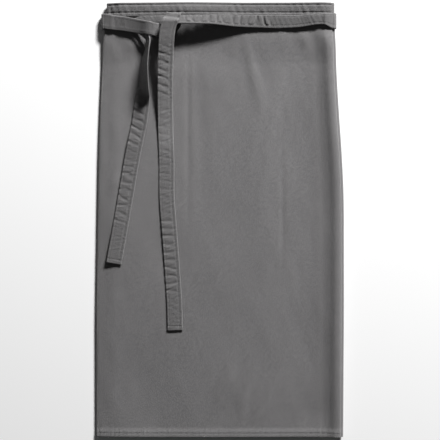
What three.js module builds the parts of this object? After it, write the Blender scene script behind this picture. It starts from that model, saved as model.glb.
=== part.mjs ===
// Waist apron lying flat, front up: its two sides are folded behind, its ties cross behind,
// come round the sides and are knotted once over the front.
// Millimetres. +X is the wearer's left, +Y points to the waist and +Z away from the floor.

import * as THREE from 'three';

// The cloth
const APRON_LENGTH = 800;
const HALF_FRONT = 229;
const CUT_WIDTH = 700;
const CLOTH = 1.2;
const HEM_HEIGHT = 9;
const HEM_THICK = 2.2;
const BAND_HEIGHT = 26;
const BAND_THICK = 2.4;
const SPACE = 9.2;

// The ties
const TIE_WIDTH = 28;
const TIE_THICK = 1.8;
const LONG_TAIL = 570;
const SHORT_TAIL = 447;
const KNOT_X = -84;
const TIE_DROP = 1.2 * TIE_WIDTH;

// The small gaps
const SEAM = 0.3;
const CLEAR = 0.4;

// Where things lie
const TOP = APRON_LENGTH / 2;
const BAND_FOOT = TOP - BAND_HEIGHT;
const SKIRT_TOP = BAND_FOOT - SEAM;
const TIE_LINE = TOP - TIE_DROP;
const BAND_LINE = TOP - BAND_HEIGHT / 2;
const LIFT = TIE_THICK + 2 * CLEAR;
const LIFT_START = TIE_LINE - 3 * TIE_WIDTH;
const LIFT_END = TIE_LINE - 0.9 * TIE_WIDTH;
const LEFT = -1;
const RIGHT = 1;

// Each side's distance from the middle, as a share of HALF_FRONT, and how much of the right side's
// roll stands there, at a share of the length above the hem
const SIDES = [
  { at: 0, left: 1, right: 0.994, roll: 0.8 },
  { at: 0.14, left: 1, right: 0.997, roll: 1 },
  { at: 0.28, left: 1, right: 1, roll: 1 },
  { at: 0.42, left: 0.993, right: 1, roll: 1 },
  { at: 0.55, left: 0.986, right: 0.998, roll: 1 },
  { at: 0.65, left: 0.98, right: 0.983, roll: 1 },
  { at: 0.74, left: 0.97, right: 0.962, roll: 1 },
  { at: 0.83, left: 0.957, right: 0.943, roll: 0.95 },
  { at: 0.9, left: 0.946, right: 0.934, roll: 0.72 },
  { at: 0.94, left: 0.934, right: 0.926, roll: 0.38 },
  { at: 0.965, left: 0.914, right: 0.922, roll: 0.24 },
  { at: 1, left: 0.914, right: 0.922, roll: 0.24 },
];

// How far the front stands over the back near a side: height as a share of SPACE,
// at a share of HALF_FRONT in from the side
const CRISP_FOLD = [
  { inward: 0, height: 0.36 },
  { inward: 0.06, height: 0.58 },
  { inward: 0.16, height: 0.82 },
  { inward: 0.42, height: 1 },
  { inward: 1, height: 1 },
];
const SOFT_ROLL = [
  { inward: 0, height: 1 },
  { inward: 0.025, height: 1.5 },
  { inward: 0.05, height: 1.82 },
  { inward: 0.08, height: 1.9 },
  { inward: 0.12, height: 1.58 },
  { inward: 0.18, height: 1.1 },
  { inward: 0.25, height: 0.83 },
  { inward: 0.34, height: 0.76 },
  { inward: 0.46, height: 0.82 },
  { inward: 0.65, height: 0.95 },
  { inward: 1, height: 1 },
];

// Soft folds of the front: middle and reach as shares of HALF_FRONT and APRON_LENGTH, turn in degrees,
// rise as a share of SPACE. They end at FOLDS_END and are full at FOLDS_FULL, counted in from a side.
const FOLDS = [
  { x: 0.3, y: 0.22, wide: 0.09, long: 0.2, turn: -9, rise: 0.1 },
  { x: 0.34, y: 0.02, wide: 0.11, long: 0.16, turn: 4, rise: 0.09 },
  { x: -0.16, y: 0.24, wide: 0.06, long: 0.16, turn: 3, rise: -0.1 },
  { x: -0.86, y: 0.05, wide: 0.07, long: 0.3, turn: 1, rise: 0.08 },
  { x: 0.08, y: -0.38, wide: 0.16, long: 0.05, turn: 35, rise: 0.09 },
  { x: -0.5, y: -0.34, wide: 0.2, long: 0.12, turn: -20, rise: -0.08 },
  { x: 0.85, y: -0.44, wide: 0.16, long: 0.06, turn: 40, rise: -0.1 },
  { x: -0.25, y: 0.482, wide: 0.3, long: 0.036, turn: 0, rise: 0.75 },
  { x: -0.25, y: 0.414, wide: 0.32, long: 0.046, turn: -6, rise: -0.42 },
  { x: -0.84, y: 0.5, wide: 0.22, long: 0.04, turn: 0, rise: 0.3 },
  { x: 0.72, y: 0.5, wide: 0.36, long: 0.04, turn: 0, rise: 0.32 },
];
const FOLDS_END = 0.02;
const FOLDS_FULL = 0.12;

// A value of a table's column at a place, on a smooth curve through its rows
function along(table, place, from, column) {
  const last = table.length - 1;
  let row = 0;
  while (row < last - 1 && place > table[row + 1][from]) {
    row += 1;
  }
  const [low, high] = [table[row], table[row + 1]];
  const run = high[from] - low[from];
  const share = THREE.MathUtils.clamp((place - low[from]) / run, 0, 1);
  const slope = (a, b) => (b[column] - a[column]) / (b[from] - a[from]);
  const before = slope(table[Math.max(row - 1, 0)], high);
  const after = slope(low, table[Math.min(row + 2, last)]);
  const square = share * share;
  const cube = square * share;
  return (2 * cube - 3 * square + 1) * low[column] + (3 * square - 2 * cube) * high[column]
    + (cube - 2 * square + share) * run * before + (cube - square) * run * after;
}

const aboveHem = (y) => y / APRON_LENGTH + 0.5;
const side = (which, y) => HALF_FRONT * along(SIDES, aboveHem(y), 'at', which === LEFT ? 'left' : 'right');
const flapWidth = (y) => (CUT_WIDTH - side(LEFT, y) - side(RIGHT, y)) / 2;
const flapEdge = (which, y) => which * (side(which, y) - flapWidth(y));
const lift = (y) => LIFT * THREE.MathUtils.smoothstep(y, LIFT_START, LIFT_END);

function foldRise(x, y) {
  let rise = 0;
  for (const fold of FOLDS) {
    const turn = THREE.MathUtils.degToRad(fold.turn);
    const [dx, dy] = [x - fold.x * HALF_FRONT, y - fold.y * APRON_LENGTH];
    const across = (dx * Math.cos(turn) + dy * Math.sin(turn)) / (fold.wide * HALF_FRONT);
    const length = (dy * Math.cos(turn) - dx * Math.sin(turn)) / (fold.long * APRON_LENGTH);
    rise += fold.rise * SPACE * Math.exp(-across * across - length * length);
  }
  return rise;
}

// The height of the front's middle over the back's middle, at a side and anywhere
function sideHeight(which) {
  return SPACE * (which === LEFT ? CRISP_FOLD : SOFT_ROLL)[0].height;
}
function frontOverBack(x, y) {
  const fromLeft = (x + side(LEFT, y)) / HALF_FRONT;
  const fromRight = (side(RIGHT, y) - x) / HALF_FRONT;
  const left = along(CRISP_FOLD, Math.max(fromLeft, 0), 'inward', 'height');
  const rolled = along(SOFT_ROLL, Math.max(fromRight, 0), 'inward', 'height');
  const right = THREE.MathUtils.lerp(1, rolled, along(SIDES, aboveHem(y), 'at', 'roll'));
  const edge = THREE.MathUtils.smoothstep(Math.min(fromLeft, fromRight), FOLDS_END, FOLDS_FULL);
  return SPACE * (x < 0 ? left : right) + edge * foldRise(x, y);
}

// The middle line of one section of the cloth, from the left flap's edge round the front
// to the right flap's edge
const FLAP_STEPS = 3;
const TURN_STEPS = 6;
const FRONT_STEPS = 24;
const FRONT_CROWDING = 0.55;
const EASING = 2 * CLEAR;

function sectionLine(y, thick) {
  const back = lift(y) + thick / 2;
  const points = [];
  const turnAt = (which) => {
    const radius = sideHeight(which) / 2;
    return { radius, x: which * (side(which, y) - thick / 2 - radius), z: back + radius };
  };
  const [left, right] = [turnAt(LEFT), turnAt(RIGHT)];
  const addFlap = (which, turn, share) => {
    points.push([THREE.MathUtils.lerp(flapEdge(which, y), turn.x, share), back]);
  };
  const addTurn = (which, turn, angle) => {
    points.push([turn.x + which * turn.radius * Math.sin(angle), turn.z - turn.radius * Math.cos(angle)]);
  };
  for (let i = 0; i < FLAP_STEPS; i += 1) {
    addFlap(LEFT, left, i / FLAP_STEPS);
  }
  for (let i = 0; i < TURN_STEPS; i += 1) {
    addTurn(LEFT, left, (Math.PI * i) / TURN_STEPS);
  }
  for (let i = 0; i <= FRONT_STEPS; i += 1) {
    const even = (2 * i) / FRONT_STEPS - 1;
    const share = THREE.MathUtils.lerp(even, Math.sin((even * Math.PI) / 2), FRONT_CROWDING);
    const x = THREE.MathUtils.mapLinear(share, -1, 1, left.x, right.x);
    const start = THREE.MathUtils.smoothstep(x, left.x, left.x + EASING);
    const end = THREE.MathUtils.smoothstep(-x, -right.x, -right.x + EASING);
    const atSide = sideHeight(x < 0 ? LEFT : RIGHT);
    points.push([x, back + THREE.MathUtils.lerp(atSide, frontOverBack(x, y), start * end)]);
  }
  for (let i = 1; i <= TURN_STEPS; i += 1) {
    addTurn(RIGHT, right, Math.PI * (1 - i / TURN_STEPS));
  }
  for (let i = 1; i <= FLAP_STEPS; i += 1) {
    addFlap(RIGHT, right, 1 - i / FLAP_STEPS);
  }
  return points;
}

// Both faces of the cloth at one height
function clothRow(y, thick) {
  const line = sectionLine(y, thick);
  const outer = [];
  const inner = [];
  line.forEach(([x, z], i) => {
    const [x0, z0] = line[Math.max(i - 1, 0)];
    const [x1, z1] = line[Math.min(i + 1, line.length - 1)];
    const run = Math.hypot(x1 - x0, z1 - z0);
    const half = thick / 2 / run;
    outer.push(new THREE.Vector3(x - (z1 - z0) * half, y, z + (x1 - x0) * half));
    inner.push(new THREE.Vector3(x + (z1 - z0) * half, y, z - (x1 - x0) * half));
  });
  return { outer, inner };
}

// One closed body between the two faces of a sheet, given row by row
function sheetGeometry(rows) {
  const across = rows[0].outer.length;
  const [lastRow, lastColumn] = [rows.length - 1, across - 1];
  const at = (row, face, column) => (row * 2 + face) * across + column;
  const corners = rows.flatMap((row) => [...row.outer, ...row.inner]).flatMap((p) => p.toArray());
  const faces = [];
  const quad = (a, b, c, d) => faces.push(a, b, c, a, c, d);
  for (let r = 0; r < lastRow; r += 1) {
    for (let c = 0; c < lastColumn; c += 1) {
      quad(at(r, 0, c), at(r, 0, c + 1), at(r + 1, 0, c + 1), at(r + 1, 0, c));
      quad(at(r, 1, c), at(r + 1, 1, c), at(r + 1, 1, c + 1), at(r, 1, c + 1));
    }
    quad(at(r, 0, 0), at(r + 1, 0, 0), at(r + 1, 1, 0), at(r, 1, 0));
    quad(at(r, 0, lastColumn), at(r, 1, lastColumn), at(r + 1, 1, lastColumn), at(r + 1, 0, lastColumn));
  }
  for (let c = 0; c < lastColumn; c += 1) {
    quad(at(0, 0, c), at(0, 1, c), at(0, 1, c + 1), at(0, 0, c + 1));
    quad(at(lastRow, 0, c), at(lastRow, 0, c + 1), at(lastRow, 1, c + 1), at(lastRow, 1, c));
  }
  const geometry = new THREE.BufferGeometry();
  geometry.setAttribute('position', new THREE.Float32BufferAttribute(corners, 3));
  geometry.setIndex(faces);
  geometry.computeVertexNormals();
  return geometry;
}

function skirtGeometry() {
  const hemTop = -TOP + HEM_HEIGHT;
  const heights = [[-TOP, HEM_THICK], [hemTop - CLOTH, HEM_THICK], [hemTop, CLOTH]];
  const lowSteps = 18;
  for (let i = 1; i <= lowSteps; i += 1) {
    heights.push([THREE.MathUtils.lerp(hemTop, LIFT_START, i / lowSteps), CLOTH]);
  }
  const riseSteps = 4;
  for (let i = 1; i <= riseSteps; i += 1) {
    heights.push([THREE.MathUtils.lerp(LIFT_START, LIFT_END, i / riseSteps), CLOTH]);
  }
  heights.push([(LIFT_END + SKIRT_TOP) / 2, CLOTH], [SKIRT_TOP, CLOTH]);
  return sheetGeometry(heights.map(([y, thick]) => clothRow(y, thick)));
}

function waistbandGeometry() {
  return sheetGeometry([BAND_FOOT, BAND_LINE, TOP].map((y) => clothRow(y, BAND_THICK)));
}

const HALVES = [-1, 0, 1];

// The height of the front's top face, and the least height at which a tie's middle clears it all across
function frontTop(x, y) {
  const onBand = THREE.MathUtils.smoothstep(y, LIFT_START, LIFT_END);
  const cover = THREE.MathUtils.lerp(CLOTH, BAND_THICK, onBand);
  const inside = THREE.MathUtils.clamp(x, SPACE - side(LEFT, y), side(RIGHT, y) - SPACE);
  return lift(y) + cover + frontOverBack(inside, y);
}

function restingHeight(point, across, width, thick) {
  const tops = HALVES.map((half) => {
    const step = (half * width) / 2;
    return frontTop(point.x + step * across.x, point.y + step * across.y) - step * across.z;
  });
  return Math.max(...tops) + CLEAR + thick / 2;
}

// A tie is a ribbon through stations. x and y give its middle. front is 0 where z counts from the floor
// and 1 where it counts from a tie lying on the front. edge points across it, and wide and thick are
// shares of TIE_WIDTH and TIE_THICK.
const STEPS_PER_STATION = 4;
const FLOOR_LAYER = TIE_THICK / 2;
const FLOOR = new THREE.Vector3(-APRON_LENGTH, -APRON_LENGTH, 0);

function ribbonGeometry(stations) {
  const curve = (list) => new THREE.CatmullRomCurve3(list);
  const middle = curve(stations.map((s) => new THREE.Vector3(s.x, s.y, s.up)));
  const edge = curve(stations.map((s) => new THREE.Vector3(...s.edge)));
  const shares = curve(stations.map((s) => new THREE.Vector3(s.wide, s.thick, s.front)));
  const count = (stations.length - 1) * STEPS_PER_STATION;
  const samples = [];
  for (let i = 0; i <= count; i += 1) {
    const [point, across, share] = [middle, edge, shares].map((c) => c.getPoint(i / count));
    const [width, thick] = [share.x * TIE_WIDTH, share.y * TIE_THICK];
    across.normalize();
    const front = THREE.MathUtils.clamp(share.z, 0, 1);
    point.z = Math.max(point.z + front * restingHeight(point, across, width, thick), FLOOR_LAYER);
    samples.push({ point, across, width, thick });
  }
  const rows = samples.map(({ point, across, width, thick }, i) => {
    const heading = new THREE.Vector3().subVectors(
      samples[Math.min(i + 1, count)].point,
      samples[Math.max(i - 1, 0)].point,
    ).normalize();
    const sideways = across.clone().addScaledVector(heading, -across.dot(heading)).normalize();
    const normal = new THREE.Vector3().crossVectors(heading, sideways);
    const face = (sign) => HALVES.map((half) => point.clone()
      .addScaledVector(sideways, (half * width) / 2)
      .addScaledVector(normal, (sign * thick) / 2)
      .max(FLOOR));
    return { outer: face(-1), inner: face(1) };
  });
  return sheetGeometry(rows);
}

const leaning = (heading, lean) => {
  const [h, l] = [heading, lean].map(THREE.MathUtils.degToRad);
  return [Math.sin(h) * Math.cos(l), -Math.cos(h) * Math.cos(l), -Math.sin(l)];
};
const SECOND_LAYER = FLOOR_LAYER + TIE_THICK + CLEAR;
const BAND_LAYER = LIFT + BAND_THICK / 2;
const UPWARD = [0, 1, 0];

// The tie's way round a side's fold, which it clears all round
const ROUND_STEPS = 4;

function roundTheFold(which, outside) {
  const fold = (sideHeight(which) + BAND_THICK) / 2;
  const radius = fold + CLEAR + TIE_THICK / 2;
  const turns = [{ x: which * (outside - 2 * SPACE), up: FLOOR_LAYER }];
  for (let i = 0; i <= ROUND_STEPS; i += 1) {
    const angle = (Math.PI * i) / ROUND_STEPS;
    turns.push({
      x: which * (outside - fold + radius * Math.sin(angle)),
      up: LIFT + fold - radius * Math.cos(angle),
    });
  }
  return turns;
}

// The stretch behind, from the band's end at one flap to the far side's fold, and round it to the front.
// reach is a share of the band end's distance from the middle, down a share of the way from the band's
// line to the ties' lowest line. band and crossing say how much of its height is the band's layer's and
// the crossing layer's, and the rest is the floor layer's. narrow is 1 where the tie is sewn to the band.
const NARROW = 0.92 * (BAND_HEIGHT / TIE_WIDTH);
const SAG = 0.28 * TIE_WIDTH;
const LEVEL_AGAIN = 0.72;
const BEHIND = [
  { reach: -1, down: 0, band: 1, crossing: 0, narrow: 1 },
  { reach: -0.8, down: 0, band: 0.5, crossing: 0.5, narrow: 1 },
  { reach: -0.6, down: 0, band: 0, crossing: 1, narrow: 1 },
  { reach: 0, down: 0.5, band: 0, crossing: 1, narrow: 0 },
  { reach: 0.6, down: 1, band: 0, crossing: 1, narrow: 0 },
  { reach: 0.9, down: 1.03, band: 0, crossing: 0, narrow: 0 },
  { reach: 1.3, down: 1, band: 0, crossing: 0, narrow: 0 },
];

function hiddenStretch(which, crossingLayer, slack) {
  const bandEnd = flapEdge(-which, BAND_LINE) + which * SEAM;
  const outside = side(which, TIE_LINE - TIE_WIDTH / 2) + slack;
  const flat = { front: 0, edge: UPWARD, wide: 1, thick: 1 };
  const behind = BEHIND.map((row) => ({
    ...flat,
    x: which * row.reach * Math.abs(bandEnd),
    y: THREE.MathUtils.lerp(BAND_LINE, TIE_LINE - SAG, row.down),
    up: FLOOR_LAYER + row.band * (BAND_LAYER - FLOOR_LAYER) + row.crossing * (crossingLayer - FLOOR_LAYER),
    wide: THREE.MathUtils.lerp(1, NARROW, row.narrow),
  }));
  return [
    ...behind,
    { ...flat, x: which * LEVEL_AGAIN * outside, y: TIE_LINE - SAG / 2, up: FLOOR_LAYER },
    ...roundTheFold(which, outside).map((turn) => ({ ...flat, ...turn, y: TIE_LINE })),
  ];
}

// Stations given by columns. x is a share of HALF_FRONT, or tie widths from the knot. y is tie widths
// from the tie line, or a share of a tail's drop. up is in tie widths, heading and lean in degrees.
const onFront = (row) => ({
  x: row.out * HALF_FRONT,
  y: TIE_LINE + row.rise * TIE_WIDTH,
  up: row.up * TIE_WIDTH,
  front: 1,
  edge: leaning(row.heading, row.lean),
  wide: row.wide,
  thick: row.thick ?? 1,
});
const inKnot = (row) => ({ ...onFront({ ...row, out: 0 }), x: KNOT_X + row.across * TIE_WIDTH });
const onTail = (drop) => (row) => ({ ...inKnot({ ...row, rise: 0 }), y: TIE_LINE - row.down * drop });

const LEFT_FRONT = [
  { out: -0.86, rise: -0.11, up: 0.02, heading: 180, lean: -3, wide: 0.96 },
  { out: -0.76, rise: -0.23, up: 0.06, heading: 180, lean: -5, wide: 0.95 },
  { out: -0.655, rise: -0.41, up: 0.19, heading: 180, lean: -7, wide: 0.92 },
  { out: -0.57, rise: -0.54, up: 0.42, heading: 180, lean: -5, wide: 0.86 },
];
const LEFT_KNOT = [
  { across: -1.15, rise: -0.64, up: 0.34, heading: 180, lean: -3, wide: 0.86 },
  { across: -0.78, rise: -0.68, up: 0.14, heading: 178, lean: 0, wide: 0.86 },
  { across: -0.3, rise: -0.56, up: 0.05, heading: 225, lean: 0, wide: 0.86 },
  { across: -0.04, rise: -0.26, up: 0.02, heading: 262, lean: 0, wide: 0.92 },
  { across: 0, rise: -0.03, up: 0.02, heading: 270, lean: 0, wide: 0.96 },
  { across: 0, rise: 0.22, up: 0.02, heading: 270, lean: 0, wide: 0.96 },
];
const LEFT_TURN = [
  { across: 0, rise: 0.39, up: 0.06, heading: 270, lean: 0, wide: 0.96 },
  { across: 0, rise: 0.44, up: 0.16, heading: 270, lean: 0, wide: 0.96 },
  { across: -0.02, rise: 0.38, up: 0.28, heading: 270, lean: 0, wide: 0.96 },
  { across: -0.12, rise: 0.14, up: 0.42, heading: 270, lean: 0, wide: 0.98 },
  { across: -0.22, rise: -0.09, up: 0.62, heading: 270, lean: 0, wide: 1 },
];
const LEFT_TAIL = [
  { across: -0.32, down: 0.018, up: 0.7, heading: 270, lean: 0, wide: 1 },
  { across: -0.4, down: 0.034, up: 0.72, heading: 270, lean: 0, wide: 1 },
  { across: -0.48, down: 0.066, up: 0.7, heading: 270, lean: 0, wide: 1 },
  { across: -0.53, down: 0.11, up: 0.58, heading: 270, lean: 0, wide: 1 },
  { across: -0.57, down: 0.17, up: 0.4, heading: 270, lean: 0, wide: 1 },
  { across: -0.59, down: 0.23, up: 0.23, heading: 270, lean: 0, wide: 1 },
  { across: -0.585, down: 0.29, up: 0.1, heading: 270, lean: 0, wide: 1 },
  { across: -0.57, down: 0.35, up: 0.02, heading: 270, lean: 0, wide: 1 },
  { across: -0.51, down: 0.45, up: 0, heading: 270, lean: 0, wide: 1 },
  { across: -0.49, down: 0.57, up: 0, heading: 270, lean: 0, wide: 1 },
  { across: -0.37, down: 0.65, up: 0, heading: 270, lean: 0, wide: 1 },
  { across: -0.14, down: 0.8, up: 0, heading: 270, lean: 0, wide: 1 },
  { across: 0.01, down: 0.92, up: 0, heading: 270, lean: 0, wide: 1 },
  { across: 0.05, down: 1, up: 0, heading: 270, lean: 0, wide: 1 },
];

const RIGHT_FRONT = [
  { out: 0.84, rise: 0.07, up: 0.035, heading: 180, lean: -2, wide: 0.72 },
  { out: 0.76, rise: 0.06, up: 0.03, heading: 180, lean: -4, wide: 0.72 },
  { out: 0.65, rise: -0.04, up: 0.02, heading: 180, lean: -4, wide: 0.78 },
  { out: 0.52, rise: -0.08, up: 0, heading: 180, lean: -3, wide: 0.82 },
  { out: 0.33, rise: -0.07, up: 0, heading: 180, lean: 0, wide: 0.82 },
  { out: 0.13, rise: -0.03, up: 0.02, heading: 180, lean: 5, wide: 0.8 },
  { out: 0.01, rise: 0.02, up: 0.04, heading: 180, lean: 9, wide: 0.73 },
  { out: -0.07, rise: 0.04, up: 0.03, heading: 180, lean: 12, wide: 0.66, thick: 1.15 },
  { out: -0.165, rise: 0.03, up: 0.03, heading: 180, lean: 14, wide: 0.62, thick: 1.3 },
];
const RIGHT_KNOT = [
  { across: 0.68, rise: 0.02, up: 0.09, heading: 180, lean: 17, wide: 0.6, thick: 1.3 },
  { across: 0, rise: 0, up: 0.16, heading: 180, lean: 17, wide: 0.6, thick: 1.3 },
  { across: -0.46, rise: 0.02, up: 0.165, heading: 180, lean: 16, wide: 0.56, thick: 1.3 },
  { across: -0.8, rise: 0.06, up: 0.11, heading: 181, lean: 18, wide: 0.5, thick: 1.3 },
  { across: -1.2, rise: 0.08, up: 0.02, heading: 182, lean: 10, wide: 0.46, thick: 1.3 },
  { across: -1.7, rise: 0.08, up: 0.02, heading: 184, lean: 6, wide: 0.44, thick: 1.3 },
  { across: -2.15, rise: 0.07, up: 0.02, heading: 194, lean: 4, wide: 0.42, thick: 1.3 },
  { across: -2.5, rise: -0.04, up: 0.02, heading: 225, lean: 4, wide: 0.4, thick: 1.3 },
  { across: -2.6, rise: -0.28, up: 0.02, heading: 262, lean: 4, wide: 0.4, thick: 1.3 },
  { across: -2.48, rise: -0.53, up: 0.02, heading: 300, lean: 6, wide: 0.4, thick: 1.3 },
  { across: -2.22, rise: -0.72, up: 0.02, heading: 318, lean: 12, wide: 0.4, thick: 1.3 },
  { across: -1.94, rise: -0.92, up: 0.02, heading: 305, lean: 28, wide: 0.42, thick: 1.3 },
  { across: -1.74, rise: -1.16, up: 0.02, heading: 282, lean: 54, wide: 0.48, thick: 1.2 },
];
const RIGHT_TAIL = [
  { across: -1.72, down: 0.098, up: 0.02, heading: 270, lean: 64, wide: 0.72, thick: 1.1 },
  { across: -1.82, down: 0.135, up: 0.02, heading: 270, lean: 64, wide: 0.9 },
  { across: -1.94, down: 0.18, up: 0.02, heading: 270, lean: 60, wide: 1 },
  { across: -1.97, down: 0.24, up: 0.02, heading: 270, lean: 54, wide: 1 },
  { across: -1.99, down: 0.283, up: 0.02, heading: 270, lean: 44, wide: 1 },
  { across: -2.07, down: 0.31, up: 0.02, heading: 268, lean: 20, wide: 1 },
  { across: -2.15, down: 0.35, up: 0.02, heading: 266, lean: 8, wide: 1 },
  { across: -2.3, down: 0.42, up: 0.02, heading: 262, lean: 3, wide: 1 },
  { across: -2.5, down: 0.48, up: 0.01, heading: 260, lean: 0, wide: 1 },
  { across: -2.79, down: 0.57, up: 0, heading: 260, lean: 0, wide: 1 },
  { across: -3.24, down: 0.735, up: 0, heading: 259, lean: 0, wide: 1 },
  { across: -3.7, down: 0.9, up: 0, heading: 259, lean: 0, wide: 1 },
  { across: -3.99, down: 1, up: 0, heading: 259, lean: 0, wide: 1 },
];

const leftTie = [
  ...hiddenStretch(LEFT, SECOND_LAYER, 3 * CLEAR + TIE_THICK),
  ...LEFT_FRONT.map(onFront),
  ...LEFT_KNOT.map(inKnot),
  ...LEFT_TURN.map(inKnot),
  ...LEFT_TAIL.map(onTail(LONG_TAIL)),
];
const rightTie = [
  ...hiddenStretch(RIGHT, FLOOR_LAYER, 2 * CLEAR),
  ...RIGHT_FRONT.map(onFront),
  ...RIGHT_KNOT.map(inKnot),
  ...RIGHT_TAIL.map(onTail(SHORT_TAIL)),
];

const greyCotton = (shade) => new THREE.MeshStandardMaterial({ color: shade, roughness: 0.9, metalness: 0 });

function named(name, geometry, shade) {
  const mesh = new THREE.Mesh(geometry, greyCotton(shade));
  mesh.name = name;
  return mesh;
}

const apron = new THREE.Group();
apron.add(named('skirt', skirtGeometry(), 0x6e6c6b));
apron.add(named('waistband', waistbandGeometry(), 0x6a6867));
apron.add(named('left_tie', ribbonGeometry(leftTie), 0x716f6e));
apron.add(named('right_tie', ribbonGeometry(rightTie), 0x716f6e));

export default apron;
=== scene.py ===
"""A grey cotton waist apron lying flat, front up: skirt, waistband and two ties knotted over the front."""

import math

import bpy
import numpy as np
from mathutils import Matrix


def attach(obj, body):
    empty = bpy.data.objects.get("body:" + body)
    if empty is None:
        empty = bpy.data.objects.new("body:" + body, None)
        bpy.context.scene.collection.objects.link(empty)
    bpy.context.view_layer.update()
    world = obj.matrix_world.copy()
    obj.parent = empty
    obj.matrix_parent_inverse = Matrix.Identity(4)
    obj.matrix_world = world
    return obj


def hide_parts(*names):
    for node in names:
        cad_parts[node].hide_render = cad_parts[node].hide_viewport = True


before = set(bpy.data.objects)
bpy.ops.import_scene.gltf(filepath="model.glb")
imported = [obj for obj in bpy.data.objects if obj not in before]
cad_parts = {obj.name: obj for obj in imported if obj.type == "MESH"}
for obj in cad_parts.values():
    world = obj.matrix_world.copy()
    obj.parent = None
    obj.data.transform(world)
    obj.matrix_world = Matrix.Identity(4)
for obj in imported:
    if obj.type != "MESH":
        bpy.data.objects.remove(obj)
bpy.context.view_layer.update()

# Everything is in metres, and MM turns a length given in millimetres into them
MM = 0.001

# The cloth's own sizes, as the solids have them
LENGTH = 800 * MM
HALF_FRONT = 229 * MM
CUT_WIDTH = 700 * MM
CLOTH = 1.2 * MM
HEM_HEIGHT = 9 * MM
HEM_THICK = 2.2 * MM
BAND_HEIGHT = 26 * MM
BAND_THICK = 2.4 * MM
SPACE = 9.2 * MM
TIE_WIDTH = 28 * MM
TIE_THICK = 1.8 * MM
LONG_TAIL = 570 * MM
SHORT_TAIL = 447 * MM
KNOT_X = -84 * MM
TIE_DROP = 1.2 * TIE_WIDTH
SEAM = 0.3 * MM
CLEAR = 0.4 * MM

TOP = LENGTH / 2
BAND_FOOT = TOP - BAND_HEIGHT
SKIRT_TOP = BAND_FOOT - SEAM
TIE_LINE = TOP - TIE_DROP
BAND_LINE = TOP - BAND_HEIGHT / 2
LIFT = TIE_THICK + 2 * CLEAR
LIFT_START = TIE_LINE - 3 * TIE_WIDTH
LIFT_END = TIE_LINE - 0.9 * TIE_WIDTH
LEFT, RIGHT = -1, 1

# The seams: how far each row of stitches lies from its edge
HEM_SEAM = 6.6 * MM
HEM_SLOPE = 9 * MM
BAND_SEAMS = (4.6 * MM, 18.4 * MM)
FLAP_SEAM = 6 * MM
TIE_SEAMS = (0.4, -0.29)
END_SEAM = 8 * MM
STITCH_PITCH = 3.3 * MM
STITCH_LENGTH = 2.5 * MM
THREAD = 0.55 * MM

# Each side's distance from the middle as a share of HALF_FRONT, and how much of the right side's roll
# stands there, at a share of the length above the hem
SIDES = {
    "at": (0, 0.14, 0.28, 0.42, 0.55, 0.65, 0.74, 0.83, 0.9, 0.94, 0.965, 1),
    "left": (1, 1, 1, 0.993, 0.986, 0.98, 0.97, 0.957, 0.946, 0.934, 0.914, 0.914),
    "right": (0.994, 0.997, 1, 1, 0.998, 0.983, 0.962, 0.943, 0.934, 0.926, 0.922, 0.922),
    "roll": (0.8, 1, 1, 1, 1, 1, 1, 0.95, 0.72, 0.38, 0.24, 0.24),
}
# How far the front stands over the back, as a share of SPACE, at a share of HALF_FRONT in from a side
CRISP_FOLD = {"inward": (0, 0.06, 0.16, 0.42, 1), "height": (0.36, 0.58, 0.82, 1, 1)}
SOFT_ROLL = {
    "inward": (0, 0.025, 0.05, 0.08, 0.12, 0.18, 0.25, 0.34, 0.46, 0.65, 1),
    "height": (1, 1.5, 1.82, 1.9, 1.58, 1.1, 0.83, 0.76, 0.82, 0.95, 1),
}
# How far in from a side the soft folds set in and are full, as shares of HALF_FRONT
FOLDS_BEGIN = (0.02, 0.12)
# Soft folds of the front: middle x and y, and width and length, as shares of HALF_FRONT and LENGTH, turn in
# degrees, and rise as a share of SPACE
FOLDS = (
    (0.3, 0.22, 0.09, 0.2, -9, 0.1),
    (0.34, 0.02, 0.11, 0.16, 4, 0.09),
    (-0.16, 0.24, 0.06, 0.16, 3, -0.1),
    (-0.86, 0.05, 0.07, 0.3, 1, 0.08),
    (0.08, -0.38, 0.16, 0.05, 35, 0.09),
    (-0.5, -0.34, 0.2, 0.12, -20, -0.08),
    (0.85, -0.44, 0.16, 0.06, 40, -0.1),
    (-0.25, 0.482, 0.3, 0.036, 0, 0.75),
    (-0.25, 0.414, 0.32, 0.046, -6, -0.42),
    (-0.84, 0.5, 0.22, 0.04, 0, 0.3),
    (0.72, 0.5, 0.36, 0.04, 0, 0.32),
)


def smoothstep(value, low, high):
    share = np.clip((value - low) / (high - low), 0, 1)
    return share * share * (3 - 2 * share)


def along(table, place, source, column):
    """A column of a table at a place, on a smooth curve through its rows."""
    at, values = np.array(table[source], float), np.array(table[column], float)
    place = np.asarray(place, float)
    last = len(at) - 1
    row = np.clip(np.searchsorted(at, place, side="left") - 1, 0, last - 1)
    before, after = np.maximum(row - 1, 0), np.minimum(row + 2, last)
    run = at[row + 1] - at[row]
    share = np.clip((place - at[row]) / run, 0, 1)
    slope_in = (values[row + 1] - values[before]) / (at[row + 1] - at[before])
    slope_out = (values[after] - values[row]) / (at[after] - at[row])
    square, cube = share**2, share**3
    return (
        (2 * cube - 3 * square + 1) * values[row]
        + (3 * square - 2 * cube) * values[row + 1]
        + (cube - 2 * square + share) * run * slope_in
        + (cube - square) * run * slope_out
    )


def side(which, y):
    """How far the front reaches to one side of the middle."""
    column = "left" if which == LEFT else "right"
    return HALF_FRONT * along(SIDES, np.asarray(y) / LENGTH + 0.5, "at", column)


def flap_edge(which, y):
    """Where the edge of a folded side lies, behind the front."""
    flap = (CUT_WIDTH - side(LEFT, y) - side(RIGHT, y)) / 2
    return which * (side(which, y) - flap)


def lift(y):
    """How far the folded sides stand off the floor, over the ties that pass beneath them."""
    return LIFT * smoothstep(y, LIFT_START, LIFT_END)


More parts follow.
